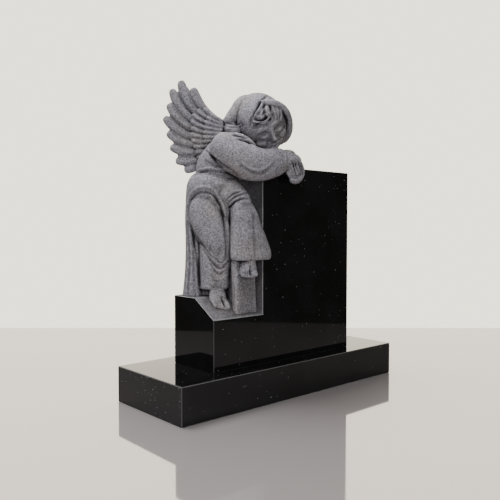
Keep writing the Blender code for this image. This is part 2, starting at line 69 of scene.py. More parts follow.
# Base slab
# The slab that the block stands on: black granite, sawn, polished on its top and sides, and eased at every
# edge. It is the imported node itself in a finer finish, and the block's polished faces share that finish.
class Wire:
    """One output of a shader node, which takes arithmetic."""

    def __init__(self, finish, socket):
        self.finish = finish
        self.socket = socket

    def math(self, operation, *others):
        return self.finish.node("ShaderNodeMath", {"operation": operation}, (self, *others))

    def __add__(self, other):
        return self.math("ADD", other)

    __radd__ = __add__

    def __rsub__(self, other):
        return self.finish.node("ShaderNodeMath", {"operation": "SUBTRACT"}, (other, self))

    def __mul__(self, other):
        return self.math("MULTIPLY", other)

    __rmul__ = __mul__

    def over(self, low, high):
        """Nought below low, one above high, and smooth between."""
        ends = {"Value": self, "From Min": low, "From Max": high}
        return self.finish.node("ShaderNodeMapRange", {"interpolation_type": "SMOOTHSTEP"}, ends, "Result")


class Finish:
    """Nodes round one shader, which make up a material or the light of the room."""

    def __init__(self, owner, shader="Principled BSDF", place="Object", **settings):
        owner.use_nodes = True
        self.owner = owner
        self.tree = owner.node_tree
        self.shader = self.tree.nodes[shader]
        self.set(**settings)
        self.place = self.node("ShaderNodeTexCoord", {}, {}, place)

    def put(self, node, key, value):
        socket = node.inputs[key]
        if isinstance(value, Wire):
            self.tree.links.new(value.socket, socket)
        elif isinstance(value, tuple) and len(value) == 3 and socket.type == "RGBA":
            socket.default_value = (*value, 1)
        else:
            socket.default_value = value

    def node(self, kind, settings, inputs, output=0):
        made = self.tree.nodes.new(kind)
        for label, value in settings.items():
            setattr(made, label, value)
        pairs = inputs.items() if isinstance(inputs, dict) else enumerate(inputs)
        for key, value in pairs:
            self.put(made, key, value)
        return Wire(self, made.outputs[output])

    def noise(self, scale, detail=2.0, roughness=0.5, output="Fac"):
        inputs = {"Vector": self.place, "Scale": scale, "Detail": detail, "Roughness": roughness}
        return self.node("ShaderNodeTexNoise", {}, inputs, output)

    def grains(self, scale, output="Distance", place=None):
        return self.node("ShaderNodeTexVoronoi", {}, {"Vector": place or self.place, "Scale": scale}, output)

    def channel(self, colour, name):
        return self.node("ShaderNodeSeparateColor", {}, (colour,), name)

    def vector(self, operation, *inputs, output=0):
        return self.node("ShaderNodeVectorMath", {"operation": operation}, inputs, output)

    def mix(self, factor, first, second, how="MIX"):
        inputs = {0: factor, 6: first, 7: second}
        return self.node("ShaderNodeMix", {"data_type": "RGBA", "blend_type": how}, inputs, 2)

    def set(self, **settings):
        for label, value in settings.items():
            self.put(self.shader, label.replace("_", " "), value)

    def bump(self, height, distance, strength):
        inputs = {"Height": height, "Distance": distance, "Strength": strength}
        self.set(Normal=self.node("ShaderNodeBump", {}, inputs))


BLACK = (0.0045, 0.0045, 0.005)
CLOUDED_BLACK = (0.008, 0.008, 0.009)
FINE_GRAIN = (0.03, 0.03, 0.034)
MICA = (0.60, 0.63, 0.68)
EDGE_PAINTED_HIGHLIGHT = (0.085, 0.085, 0.089)
CLOUD_SCALE = 9.0
GRAIN_SCALE = 700.0
MICA_SCALE = 120.0
MICA_SIZE = (0.05, 0.155)
MICA_PICK = (0.81, 0.98)
POLISH = 0.035
POLISH_WEAR = 0.03
POLISH_WEAR_SCALE = 40.0
EDGE_ROUGHNESS = 0.3


def polished_granite(name):
    """Near-black granite under a mirror polish, with fine grains, bright mica specks and a painted highlight
    on its edges.
    """
    finish = Finish(bpy.data.materials.new(name), Specular_IOR_Level=0.5, IOR=1.5)
    cloud = finish.noise(CLOUD_SCALE, 3.0).over(0.35, 0.65)
    grain = finish.noise(GRAIN_SCALE).over(0.55, 0.75)
    shade = finish.mix(grain * 0.35, finish.mix(cloud, BLACK, CLOUDED_BLACK), FINE_GRAIN)
    picked = finish.channel(finish.grains(MICA_SCALE, "Color"), "Red").over(*MICA_PICK)
    mica = (1 - finish.grains(MICA_SCALE).over(*MICA_SIZE)) * picked
    shade = finish.mix(mica, shade, MICA)
    # A face that looks along none of the three axes is an eased edge
    facing = finish.vector("ABSOLUTE", finish.node("ShaderNodeNewGeometry", {}, {}, "True Normal"))
    parts = [finish.node("ShaderNodeSeparateXYZ", {}, (facing,), axis) for axis in range(3)]
    eased = 1 - parts[0].math("MAXIMUM", parts[1]).math("MAXIMUM", parts[2]).over(0.8, 0.95)
    wear_and_painted_light = finish.noise(POLISH_WEAR_SCALE).over(0.3, 0.8)
    # Painted highlight: the eased edges are painted paler, for the light they catch, and they are rougher
    finish.set(Base_Color=finish.mix(eased, shade, EDGE_PAINTED_HIGHLIGHT))
    finish.set(Roughness=POLISH + wear_and_painted_light * POLISH_WEAR + eased * EDGE_ROUGHNESS)
    return finish.owner


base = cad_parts["base"]
base.data.materials.clear()
base.data.materials.append(polished_granite("polished_base"))


# Stepped block and angel
# One block of black granite that stands on the base with a hair-thin joint, tall on the right and cut down to
# a sloping ledge on the left. The angel on the ledge is carved out of the same block. The big faces are
# polished, and where the chisel went the stone is left grey.
TABLET_LENGTH = 0.550
TABLET_HEIGHT = 0.560
LOW_LENGTH = 0.176
LOW_HEIGHT = 0.194
SLOPE_RUN = 0.083
SLOPE_DROP = 0.053
BLOCK_ARRIS = 0.0015
LEFT_MARGIN = 0.143
FRONT_MARGIN = 0.055
TABLET_THICKNESS = 0.180
JOINT_GAP = 0.0003
CARVING_GRAIN = 0.0022
CARVING_TRIANGLES = 186000

base_low, base_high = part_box("base")
tablet_foot = base_high.z + JOINT_GAP
tablet_left = base_low.x + LEFT_MARGIN
tablet_front = base_low.y + FRONT_MARGIN
tablet_back = tablet_front + TABLET_THICKNESS
tablet_top = base_high.z + TABLET_HEIGHT
ledge_top = base_high.z + LOW_HEIGHT
reveal = tablet_left + LOW_LENGTH

# The angel is measured in thousandths of its own height: ahead of it, to its right side, and up from its feet
ARM_REST_SHARE = 0.625
FIGURE_HEIGHT = (TABLET_HEIGHT - LOW_HEIGHT) / ARM_REST_SHARE
FIGURE_TURN = math.radians(41.8)
unit = FIGURE_HEIGHT / 1000
ahead = Vector((math.cos(FIGURE_TURN), -math.sin(FIGURE_TURN), 0))
side = Vector((-math.sin(FIGURE_TURN), -math.cos(FIGURE_TURN), 0))
foot_point = Vector(((tablet_left + reveal) / 2, (tablet_front + tablet_back) / 2, ledge_top))

# The same measure turned to face the tablet's front, for what lies parallel to the polished faces
TO_FRONT = (math.sin(FIGURE_TURN), math.cos(FIGURE_TURN), 0)


def smooth_path(points, steps):
    """Rows of numbers read along a smooth curve through the given rows."""
    rows = np.array(points, float)
    spread = np.linspace(0, len(rows) - 1, steps)
    padded = np.vstack([2 * rows[0] - rows[1], rows, 2 * rows[-1] - rows[-2]])
    first = np.minimum(spread.astype(int), len(rows) - 2)
    t = (spread - first)[:, None]
    a, b, c, d = (padded[first + k] for k in range(4))
    return 0.5 * (2 * b + (c - a) * t + (2 * a - 5 * b + 4 * c - d) * t**2 + (3 * b - a - 3 * c + d) * t**3)


def unit_rows(rows):
    return rows / np.maximum(np.linalg.norm(rows, axis=1, keepdims=True), 1e-9)


FORM_FINENESS = 1.6
FORM_STEPS = 121


def form(stone, stations, blunt=4.0, level=False, across=(0, 1, 0), square=2.0, sides=20, rings=22,
         place=None):
    """Adds a closed rounded form swept through rows of ahead, side, up, half width and half depth."""
    lump = bmesh.new()
    segments, rings = int(sides * FORM_FINENESS), int(rings * FORM_FINENESS)
    made = bmesh.ops.create_uvsphere(lump, u_segments=segments, v_segments=rings, radius=1)["verts"]
    ball = np.array([v.co for v in made])
    fine = smooth_path(stations, FORM_STEPS)
    across = np.array(across, float)
    way = np.tile([0.0, 0.0, 1.0], (len(fine), 1)) if level else unit_rows(np.gradient(fine[:, :3], axis=0))
    depth_way = unit_rows(across - way * (way @ across)[:, None])
    width_way = np.cross(way, depth_way)
    share = (1 - np.clip(ball[:, 2], -1, 1)) / 2
    at = share * (len(fine) - 1)
    low = np.minimum(at.astype(int), len(fine) - 2)
    part = (at - low)[:, None]

    def along(rows):
        return rows[low] * (1 - part) + rows[low + 1] * part

    flat = np.linalg.norm(ball[:, :2], axis=1)
    ring = ball[:, :2] / np.maximum(flat, 1e-6)[:, None]
    corner = np.maximum((np.abs(ring) ** square).sum(axis=1), 0.01) ** (-1 / square)
    swell = (1 - np.abs(2 * share - 1) ** blunt) ** (1 / blunt) * corner
    values = along(fine)
    moved = (
        values[:, :3]
        + along(width_way) * (values[:, 3] * ring[:, 0] * swell)[:, None]
        + along(depth_way) * (values[:, 4] * ring[:, 1] * swell)[:, None]
    )
    if place is not None:
        moved = moved @ place[:3] + place[3]
    for vertex, spot in zip(made, moved):
        vertex.co = spot
    bmesh.ops.recalc_face_normals(lump, faces=lump.faces)
    mesh = bpy.data.meshes.new("lump")
    lump.to_mesh(mesh)
    lump.free()
    stone.from_mesh(mesh)
    bpy.data.meshes.remove(mesh)


def carve_gown(stone):
    """The gown from the waist to the ledge, with the standing leg pressing through its near side."""
    form(stone, [(-30, -10, 596, 92, 74), (-24, -6, 540, 126, 92), (-26, -12, 460, 132, 92),
                 (-36, -26, 380, 124, 84), (-46, -40, 280, 112, 76), (-48, -42, 150, 112, 76),
                 (-48, -42, -60, 116, 80)], 9, level=True, rings=34)
    form(stone, [(-74, 20, 506, 62, 46), (-66, 28, 440, 78, 62), (-46, 34, 350, 84, 62),
                 (-14, 34, 250, 70, 60), (8, 30, 156, 46, 50)], 2.6)
    form(stone, [(-42, -6, 500, 84, 60), (-30, 4, 420, 84, 64), (-22, 10, 340, 80, 66),
                 (-17, 12, 260, 76, 68), (-17, 14, 180, 73, 69), (-18, 14, 110, 71, 68),
                 (-20, 14, 34, 69, 66)], 26, level=True, square=2.8, rings=40)
    form(stone, [(-112, -6, 500, 40, 56), (-122, -6, 400, 38, 56), (-128, -8, 280, 32, 52),
                 (-127, -8, 180, 34, 52), (-126, -8, 90, 40, 54), (-125, -8, -40, 54, 58)], 12, level=True)
    form(stone, [(-100, 4, 330, 26, 40), (-104, 2, 200, 28, 42),
                 (-106, 2, 60, 32, 44), (-106, 2, -40, 34, 46)], 12, level=True)


def carve_raised_leg(stone):
    """The left thigh lifted against the tall part, its bell of cloth, and the square stub of stone below."""
    form(stone, [(-20, 0, 520, 90, 76), (40, 18, 490, 84, 70),
                 (100, 36, 452, 62, 58), (136, 44, 404, 52, 52)], 2.8)
    form(stone, [(6, 8, 520, 92, 70), (22, 14, 450, 80, 66), (38, 12, 390, 60, 54), (48, 2, 330, 30, 30)], 3)
    form(stone, [(92, 34, 500, 34, 34), (104, 38, 462, 50, 44), (122, 40, 411, 69, 46),
                 (133, 42, 354, 82, 48), (142, 42, 307, 95, 50), (152, 42, 254, 109, 50),
                 (159, 42, 211, 119, 50), (160, 42, 173, 119, 49)], 20, level=True,
         across=TO_FRONT, square=2.3, sides=28, rings=36)
    form(stone, [(119, 60, 172, 63, 19), (122, 56, 100, 64, 19), (125, 50, 20, 65, 19),
                 (129, 45, -120, 66, 19)], 16, level=True, across=TO_FRONT, square=6, sides=28)
    form(stone, [(74, -14, 440, 44, 60), (92, -14, 300, 58, 60), (98, -16, 100, 56, 60),
                 (98, -16, -100, 56, 60)], 6, level=True, across=TO_FRONT, square=3)
    form(stone, [(0, -110, 500, 96, 66), (30, -112, 300, 100, 60),
                 (30, -112, 100, 100, 60), (30, -108, -60, 100, 60)], 12, level=True)


# Each foot: its heel, its ball, the end of its toes, its half width, and the way its instep looks
STANDING_FOOT = ((-16, 24, 44), (3, 76, -14), (36, 110, -60), 44, (0.2, 0.3, 0.93))
RAISED_FOOT = ((138, 34, 196), (144, 86, 128), (158, 104, 90), 43, (0.2, 0.9, 0.35))
TOE_LENGTHS = (1.0, 0.97, 0.88, 0.76, 0.62)
TOE_HALVES = (17, 12, 11, 10, 9)


def carve_foot(stone, heel, ball, toes_end, width, lift):
    """A bare foot: its instep from the ankle to the ball, and five toes fanned across its end."""
    heel, ball, toes_end = (np.array(p, float) for p in (heel, ball, toes_end))
    run = unit_rows((toes_end - ball)[None])[0]
    lift = np.array(lift, float)
    cross_way = unit_rows(np.cross(run, lift)[None])[0]
    form(stone, [(*(heel + lift * 22), 34, 32), (*(heel * 0.55 + ball * 0.45 + lift * 14), 36, 34),
                 (*(ball + lift * 2), width, 25), (*(ball * 0.4 + toes_end * 0.6), width * 0.84, 14)],
         3.6, across=tuple(lift))
    for k, (long, thick) in enumerate(zip(TOE_LENGTHS, TOE_HALVES)):
        aside = cross_way * ((1.5 - k) / 3.0 * width)
        start = ball + aside * 0.95
        end = ball + (toes_end - ball) * long + aside * 1.04
        form(stone, [(*(start - run * 8), thick, thick), (*((start + end) / 2 + lift * 5), thick, thick),
                     (*end, thick * 0.98, thick * 0.94)], 3.2, across=tuple(lift), sides=12, rings=10)


def carve_torso(stone):
    """The body under the gown's yoke, bent ahead over the arms, with the neck."""
    form(stone, [(-22, -8, 500, 112, 84), (2, -8, 590, 119, 86), (26, -10, 650, 110, 90),
                 (44, -16, 704, 92, 92), (62, -26, 752, 60, 66)], 3.0, rings=28)
    form(stone, [(60, -50, 700, 66, 64), (130, -76, 750, 58, 54), (200, -90, 800, 50, 50)], 4)
    form(stone, [(10, -66, 716, 40, 46), (46, -74, 748, 36, 44), (100, -84, 768, 40, 44)], 3)
    form(stone, [(30, 62, 740, 26, 30), (64, 60, 752, 27, 30), (108, 56, 743, 27, 30), (152, 44, 718, 27, 28),
                 (182, 30, 692, 24, 26)], 2.6)


def carve_arms(stone):
    """Both sleeves: the near arm crosses the front edge of the tall part, the far one lies on its top."""
    form(stone, [(-8, 40, 714, 62, 60), (36, 62, 698, 80, 66), (92, 78, 660, 84, 66),
                 (148, 78, 632, 84, 63), (202, 56, 624, 78, 62), (246, 24, 632, 72, 60),
                 (288, -12, 646, 66, 56), (318, -36, 650, 56, 50)], 11, rings=40)
    form(stone, [(50, -110, 730, 62, 60), (140, -220, 705, 56, 56), (214, -306, 668, 54, 52)], 4)
    form(stone, [(196, -320, 668, 52, 50), (280, -226, 668, 52, 48),
                 (340, -140, 674, 48, 46), (366, -112, 668, 40, 38)], 6, across=(0, 0, 1))


# The knuckles run from the first place to the second, ahead and to the side. Each finger is a row of points:
# how far along that way, and how high.
KNUCKLES = np.array([[349, -49], [412, -106]])
FINGERS = (((0.82, 660), (1.06, 612), (1.00, 584), (0.82, 562)),
           ((0.54, 664), (0.80, 612), (0.80, 580), (0.64, 554)),
           ((0.24, 666), (0.48, 612), (0.54, 578), (0.44, 550)),
           ((-0.04, 660), (0.16, 608), (0.24, 582), (0.20, 558)))
FINGER_HALF = 9
FINGER_DEPTH = 13


def carve_hand(stone):
    """The near hand: its back turned up and the fingers hanging over the polished face."""
    form(stone, [(322, -46, 646, 32, 30), (352, -58, 656, 36, 30),
                 (374, -72, 650, 36, 28), (378, -76, 630, 30, 22)], 3)
    form(stone, [(370, -66, 652, 38, 22), (374, -70, 604, 42, 20),
                 (368, -66, 564, 34, 18)], 3, across=TO_FRONT)
    for path in FINGERS:
        rows = [(*(KNUCKLES[0] + (KNUCKLES[1] - KNUCKLES[0]) * along), up, FINGER_HALF, FINGER_DEPTH)
                for along, up in path]
        form(stone, rows, 4, across=TO_FRONT, sides=12, rings=16)
    form(stone, [(334, -36, 640, 14, 16), (340, -36, 604, 15, 16),
                 (354, -44, 572, 14, 14)], 4, sides=12, rings=12)
    form(stone, [(352, -48, 640, 20, 17), (354, -50, 596, 22, 17),
                 (366, -58, 566, 20, 15)], 3, across=TO_FRONT)
    form(stone, [(350, -48, 574, 16, 14), (366, -58, 562, 20, 19), (390, -79, 566, 20, 19),
                 (407, -93, 588, 14, 14)], 4, across=TO_FRONT, sides=12, rings=16)


# The head's middle, where it looks and how far it rolls on the arms, and the half sizes of its cap of hair
HEAD_CENTRE = (210, -88, 842)
HEAD_SIZE = 1.12
HEAD_LOOK = (0.42, 0.76, -0.50)
HEAD_ROLL = 0.55
HEAD_REACH = 175
look = unit_rows(np.array([HEAD_LOOK]))[0]
crown_way = np.array([-HEAD_ROLL, 0, 1.0])
crown_way = unit_rows((crown_way - look * (crown_way @ look))[None])[0]
cheek_way = np.cross(crown_way, look)
cheek_way *= np.sign(cheek_way[0])
HEAD = np.array([cheek_way * HEAD_SIZE, look * HEAD_SIZE, crown_way * HEAD_SIZE, HEAD_CENTRE])
CAP_MIDDLE = (0, -20, 2)
CAP_HALF = (113, 128, 126)


def on_cap(x, z, lift=0.0):
    """The point of the hair cap's front at a place across and up the head, lifted off it."""
    at_x, at_z = (x - CAP_MIDDLE[0]) / CAP_HALF[0], (z - CAP_MIDDLE[2]) / CAP_HALF[2]
    return (x, CAP_MIDDLE[1] + CAP_HALF[1] * math.sqrt(max(0.02, 1 - at_x**2 - at_z**2)) + lift, z)


def carve_head(stone):
    """Skull and face, in rows across the face, out of it and up it, and the hair swept back to a knot."""
    def on_head(rows, **more):
        form(stone, rows, place=HEAD, **more)

    on_head([(0, -6, 118, 96, 108), (0, -6, 0, 103, 116), (0, 4, -100, 60, 84)],
            blunt=2.1, level=True, rings=24)
    on_head([(0, 30, -20, 78, 76), (0, 40, -70, 64, 62), (0, 46, -112, 34, 44)], blunt=2.4, level=True)
    for cheek in (-1, 1):
        on_head([(cheek * 42, 66, -16, 34, 30), (cheek * 38, 66, -62, 34, 30)], blunt=2, level=True, sides=14,
                rings=12)
        on_head([(cheek * 8, 106, -38, 8, 9), (cheek * 13, 103, -37, 6, 7)], blunt=2, sides=12, rings=8)
    on_head([(0, 92, 20, 12, 16), (0, 98, -10, 13, 17), (0, 101, -36, 16, 14)], blunt=2.6, sides=14, rings=14)
    on_head([(0, 106, -12, 7, 9), (0, 113, -30, 9, 11), (0, 108, -40, 9, 8)], blunt=2.6, sides=12, rings=12)
    on_head([(0, -20, 128, 108, 118), (0, -20, 2, 113, 128), (0, -18, -96, 88, 92)], blunt=2.1, level=True,
            rings=28)
    form(stone, [(200, -100, 880, 104, 100), (142, -96, 890, 99, 92), (88, -86, 868, 62, 60),
                 (36, -80, 843, 29, 34), (4, -76, 838, 18, 22)], 2.8)
    form(stone, [(160, -78, 812, 46, 48), (104, -68, 808, 36, 42),
                 (54, -64, 812, 30, 32), (16, -66, 824, 16, 20)], 2.8)
    on_head([(*on_cap(10, 116, -14), 18, 18), (*on_cap(46, 93, -7), 24, 22), (*on_cap(72, 68, -9), 25, 26),
             (98, 38, 26, 25, 34), (104, 30, -28, 26, 36), (93, 26, -84, 25, 34), (62, 34, -124, 18, 26)],
            blunt=3)
    on_head([(78, 4, 60, 34, 60), (84, 0, 0, 36, 66), (76, 2, -66, 32, 60),
             (48, 14, -132, 24, 44)], blunt=2.8, level=True)


# Each leaf: its path across the head and up it, its half width, and how far it stands off the hair
LEAVES = ((((32, 115), (54, 105), (76, 82)), 9, 8), (((42, 104), (56, 92), (64, 76)), 7, 4),
          (((18, 113), (-4, 105), (-26, 97), (-48, 83)), 8, 8), (((26, 102), (16, 86), (4, 74)), 11, 9),
          (((-60, 72), (-30, 61), (-4, 61), (16, 72)), 7, 9), (((-38, 85), (-22, 79), (-6, 77)), 8, 5),
          (((32, 92), (26, 76), (16, 58)), 6, 4), (((10, 98), (-6, 89), (-26, 79)), 10, 3))
FRINGE = (((46, 94), (47, 66), (36, 42)), ((61, 84), (59, 62), (50, 38)), ((76, 68), (71, 46), (60, 22)))
FRINGE_LIFTS = (6, 4, 2)
FRINGE_HALVES = (9, 9, 5)
FRINGE_DEPTHS = (9, 10, 6)


def carve_garland(stone):
    """The band of leaves that runs over the head from the parting to the ear, and the fringe before it."""
    for path, half, lift in LEAVES:
        form(stone, [(*on_cap(*spot, lift), half, half * 0.8) for spot in path], 2.4,
             sides=14, rings=18, place=HEAD)
    for path in FRINGE:
        lock = zip(path, FRINGE_LIFTS, FRINGE_HALVES, FRINGE_DEPTHS)
        rows = [(*on_cap(*spot, lift), half, depth) for spot, lift, half, depth in lock]
        form(stone, rows, 3.2, sides=14, rings=16, place=HEAD)


# Each long feather of a wing, from the top one down: its tip and its root, ahead and up, and how far it bends
WING_TIPS = ((-126, 1006), (-184, 1042), (-228, 1001), (-244, 930), (-264, 866), (-250, 792), (-236, 722),
             (-210, 654), (-168, 608))
WING_ROOTS = ((22, 845), (26, 826), (24, 806), (20, 786), (16, 766), (10, 746), (2, 726),
              (-8, 702), (-20, 680))
WING_BENDS = (0.25, 0.34, 0.35, 0.33, 0.31, 0.28, 0.25, 0.20, 0.15)
WING_PIVOT = (20, 780)

# Each row of feathers: its share of the full length, how far it stands off the blade, its share of the full
# width, the step from one feather to the next, and the place of the first
WING_ROWS = ((1.0, 0, 1.0, 1.0, 0), (0.90, -6, 0.9, 1.0, 5.5),
             (0.50, 9, 0.74, 0.75, 0), (0.29, 16, 0.74, 0.75, 0))
FEATHER_HALF = 11
FEATHER_SPREAD = 18
FEATHER_DEPTH = 15
LAST_FEATHER_SHARE = 0.88

# Each wing: how far to the side it stands, its size, how far its roots move over, and the side it faces
NEAR_WING = (-48.0, 1.0, -6.0, 1)
FAR_WING = (-108.0, 0.94, 10.0, -1)


def carve_wing(stone, shift, size, root_shift, outward):
    """One wing: a thin blade, nine long flight feathers fanned back, and shorter ones that lap them."""
    pivot = np.array(WING_PIVOT, float)
    places = np.arange(len(WING_TIPS))
    for reach, rise, wide, step, first in WING_ROWS:
        for place in np.arange(first, len(WING_TIPS) - 0.9, step):
            tip, root = (np.array([np.interp(place, places, [spot[k] for spot in spots]) for k in (0, 1)])
                         for spots in (WING_TIPS, WING_ROOTS))
            run = tip - root
            middle = (tip + root) / 2 + np.array([-run[1], run[0]]) * np.interp(place, places, WING_BENDS)
            narrowing = np.interp(place, (4, 8), (1, LAST_FEATHER_SHARE))
            line = []
            for t in np.linspace(0, reach, 6):
                spot = root * (1 - t) ** 2 + middle * 2 * t * (1 - t) + tip * t**2
                spot = pivot + (spot - pivot) * size
                out = shift + root_shift * (1 - t) + rise * outward
                half = (FEATHER_HALF + FEATHER_SPREAD * t) * wide * size * narrowing
                line.append((spot[0], out, spot[1], half, FEATHER_DEPTH))
            form(stone, line, 3.6, sides=14, rings=22)
    inner = shift - 8 * outward
    form(stone, [(30, inner + root_shift, 780, 62, 14), (-60, inner, 780, 84, 9),
                 (-130, inner, 822, 74, 5)], 2.6)


def carve_angel():
    """All the forms of the angel in one mesh, where they still overlap."""
    stone = bmesh.new()
    carve_gown(stone)
    carve_raised_leg(stone)
    carve_foot(stone, *STANDING_FOOT)
    carve_foot(stone, *RAISED_FOOT)
    carve_torso(stone)
    carve_arms(stone)
    carve_hand(stone)
    carve_head(stone)
    carve_garland(stone)
    carve_wing(stone, *NEAR_WING)
    carve_wing(stone, *FAR_WING)
    return stone


# Chisel lines: path in ahead and up, half width, depth (a ridge above nought), and the side they start from
CHISEL = (
    (((-141, 387), (-132, 443), (-103, 480), (-66, 492), (-24, 480), (4, 443), (23, 396), (36, 326),
      (43, 256), (41, 185), (17, 162), (-15, 185), (-57, 227), (-99, 284), (-127, 335)), 6.5, -6.5, 0),
    (((-147, 434), (-128, 485), (-100, 510), (-62, 520), (-20, 506), (8, 471), (29, 420), (45, 354),
      (55, 269), (57, 185), (55, 104)), 6, 5, 0),
    (((-67, 223), (-34, 176), (-2, 142), (27, 138), (48, 166)), 6, -7, 20),
    (((-39, 166), (-11, 124), (12, 107), (41, 128)), 6, -5, 20),
    (((-60, 245), (-24, 196), (4, 160), (30, 160), (48, 190)), 6, 5, 20),
    (((-126, 560), (-103, 578), (-56, 592), (-9, 590), (37, 582), (93, 562), (128, 540)), 6, -3, 0),
    (((-112, 596), (-56, 606), (-9, 604), (37, 597), (80, 580)), 6, 4, 20),
    (((45, 457), (69, 481), (97, 495), (111, 497)), 5, -10, 0),
    (((50, 439), (78, 467), (111, 483), (139, 490)), 5, -10, 0),
    (((55, 420), (88, 450), (121, 462), (149, 462)), 5, -10, 0),
    (((-46, 687), (-13, 650), (24, 618), (70, 586), (100, 565)), 8, -8, 20),
    (((-52, 708), (-28, 674), (6, 646), (40, 616)), 6, 5, 20),
    (((-65, 651), (-32, 623), (5, 605)), 9, -4, 20),
    (((88, 650), (140, 606), (196, 592), (236, 612), (262, 640)), 7, 6, 30),
    (((96, 640), (144, 592), (196, 578), (242, 598), (268, 624)), 9, -3, 30),
    (((30, 846), (54, 832), (84, 826), (118, 830)), 4, -4, -90),
    (((22, 832), (50, 816), (86, 812), (124, 818)), 4, -4, -90),
    (((60, 860), (76, 842), (92, 812)), 4, -1.5, -90),
    (((96, 866), (108, 840), (120, 812)), 4, -1.5, -90),
    (((56, 777), (84, 775), (114, 763)), 5.5, -16, 10),
    (((74, 757), (108, 755), (142, 741)), 5.5, -16, 10),
    (((98, 736), (132, 731), (164, 714)), 5.5, -16, 10),
    (((348, 656), (366, 634), (383, 578)), 4, -8, -120),
    (((372, 652), (392, 600)), 4, -8, -120),
    (((390, 652), (406, 606)), 4, -7, -120),
    (((338, 606), (352, 580), (374, 567), (400, 582)), 4, -4, -120),
    (((334, 692), (336, 650), (332, 604)), 5, -8, -30),
    (((322, 690), (324, 650), (320, 606)), 6, 4, -30),
    (((154, 150), (154, 122), (157, 96)), 3.5, -10, 80),
    (((142, 126), (142, 98)), 3, -5, 80),
    (((131, 124), (131, 98)), 3, -5, 80),
    (((121, 124), (121, 102)), 3, -4, 80),
    (((20, 4), (28, -20), (42, -52)), 4, -9, 70),
    (((66, 762), (98, 763), (124, 755)), 4, 4, 10),
    (((92, 741), (122, 742), (150, 732)), 4, 4, 10),
    (((168, 400), (172, 340), (176, 260), (178, 176)), 6, -3, 20),
    (((-130, 335), (-116, 269), (-102, 184), (-93, 103), (-84, 32)), 7, -7, -20),
    (((-165, 340), (-160, 244), (-161, 147), (-171, 16)), 5, -5, -60),
    (((-146, 354), (-139, 244), (-135, 148), (-145, 18)), 6, -7, -60),
    (((-118, 230), (-114, 150), (-112, 60)), 5, -4, -60),
)

# The same for the head, across it and up it, or across, out and up; those of the eyes are mirrored
HEAD_CHISEL = (
    (((70, -12, 104), (42, 18, 114), (16, 30, 117), (-6, 46, 111), (-24, 56, 104), (-52, 60, 88),
      (-68, 60, 68), (-74, 62, 50)), 6, -12, -60),
    (((-62, 44), (-40, 60), (-16, 62), (6, 58), (24, 50)), 6, -6, 20),
    (((84, 50), (91, 20), (92, -20), (82, -66), (64, -108)), 5, -9, 10),
    (((40, 96), (28, 74), (14, 50)), 4, -9, 20),
    (((53, 90), (52, 66), (44, 42)), 3.5, -7, 20),
    (((-10, 70), (0, 66), (12, 70)), 4, -7, 20),
    (((8, 100), (0, 90), (-12, 86)), 4, -7, 20),
    (((0, 34), (0, 10), (0, -16)), 8, 4, 40),
    (((-26, -64), (-10, -60), (0, -62), (10, -60), (26, -64)), 5, 5, 40),
    (((-26, -67), (-8, -67), (0, -69), (8, -67), (26, -67)), 3, -6, 40),
    (((-18, -76), (0, -79), (18, -76)), 5.5, 5, 40),
    (((-14, -90), (0, -91), (14, -90)), 5, -4, 40),
    (((-8, -106), (8, -106)), 13, 5, 30),
)
EYE_CHISEL = (
    (((8, 25), (36, 34), (66, 22)), 9, 4, 40),
    (((14, 4), (38, 8), (62, 0)), 11, -9, 40),
    (((22, -5), (38, -7), (56, -6)), 9, 7, 40),
    (((18, -8), (28, -15), (40, -17), (52, -14), (60, -8)), 3, -6, 40),
    (((34, -44), (50, -36)), 22, 5, 30),
)
HEAD_CHISEL += EYE_CHISEL + tuple((tuple((-x, z) for x, z in path), *rest) for path, *rest in EYE_CHISEL)

# Strands of hair over the back of the head, each at its own angle between one ear and the other. A strand
# falls by so many degrees from the crown down to the neck, and sways by so many on the way.
STRAND_ANGLES = range(176, 366, 11)
STRAND_FALL = (24, 45, 66, 88, 112, 134)
STRAND_SWAY = (7, 4, 0, -3, 0, 5)
STRAND_HALF = 5
STRAND_DEPTH = -3.5
ALL_ROUND = -400


def hair_strand(angle):
    rows = []
    for fall, sway in zip(STRAND_FALL, STRAND_SWAY):
        turned, down = math.radians(angle + sway), math.radians(fall)
        way = (math.sin(down) * math.cos(turned), math.sin(down) * math.sin(turned), math.cos(down))
        rows.append(tuple(middle + half * part for middle, half, part in zip(CAP_MIDDLE, CAP_HALF, way)))
    return rows, STRAND_HALF, STRAND_DEPTH, ALL_ROUND


HEAD_CHISEL += tuple(hair_strand(angle) for angle in STRAND_ANGLES)

# Folds of the gown on the hidden side, drawn like the chisel lines but seen from the left
FAR_CHISEL = (
    (((-84, 470), (-70, 330), (-66, 180), (-72, 8)), 9, -9, 40),
    (((-40, 430), (-30, 290), (-26, 150), (-30, 8)), 7, -7, 40),
    (((4, 470), (10, 330), (14, 180), (10, 8)), 9, -9, 40),
    (((50, 420), (60, 300), (64, 160), (60, 8)), 7, -7, 40),
    (((-60, 560), (-20, 540), (30, 556), (70, 590)), 8, -6, 10),
    (((-40, 640), (10, 610), (60, 600)), 8, -6, 10),
)


LINE_STEPS = 8
LINE_REACH = 3
FADE_FROM = -0.1
FADE_SPAN = 0.4
LINE_ENDS = 0.02


